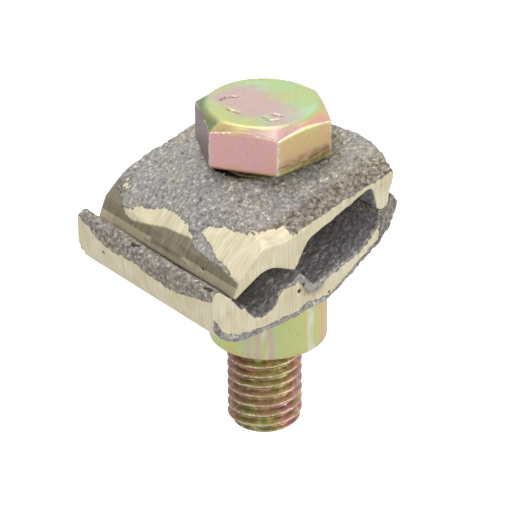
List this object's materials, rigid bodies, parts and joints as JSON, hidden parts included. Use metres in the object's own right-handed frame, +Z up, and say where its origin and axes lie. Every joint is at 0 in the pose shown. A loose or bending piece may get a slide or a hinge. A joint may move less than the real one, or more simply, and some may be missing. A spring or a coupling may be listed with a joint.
{
  "type": "earthing clamp",
  "caption": "Cast brass earthing clamp: a tilting upper jaw grips a round conductor against a grooved lower jaw on a hexagon bolt and spacer.",
  "frame": {"origin": "the bolt axis in the plane of the spacer's foot, where the clamp seats on what it is bolted to", "axes": "+Z up the bolt axis towards the head; +Y along the gripped conductor; +X across the jaws, from the conductor groove towards the heel"},
  "size_m": [0.0359, 0.034, 0.0554],
  "materials": {
    "plated_bolt": "yellow-passivated zinc plate, satin, with pink and green iridescence",
    "upper_brass": "sand-cast grey skin with ground pale brass edges",
    "lower_brass": "sand-cast grey skin with ground pale brass faces",
    "plated_spacer": "yellow-passivated zinc plate, satin, with vertical streaks"
  },
  "bodies": {
    "spacer": {"spacer": "plated_spacer"},
    "hex_bolt": {"hex_bolt": "plated_bolt"},
    "lower_jaw": {"lower_jaw": "lower_brass"},
    "upper_jaw": {"upper_jaw": "upper_brass"}
  },
  "joints": [
    {"name": "bolt_lift", "type": "slide", "parent": "spacer", "child": "hex_bolt", "axis": [0, 0, 1], "range_m": [0, 0.0051]},
    {"name": "clamp_swivel", "type": "hinge", "parent": "spacer", "child": "lower_jaw", "pos_m": [0, 0, 0.0125], "axis": [0, 0, 1], "continuous": true},
    {"name": "upper_jaw_tilt", "type": "hinge", "parent": "lower_jaw", "child": "upper_jaw", "pos_m": [0.0096, 0, 0.02655], "axis": [0, 1, 0], "range_deg": [0, 18]}
  ],
  "couplings": [
    {"joint": "upper_jaw_tilt", "follows": "bolt_lift", "rad_per_m": 61.5}
  ]
}
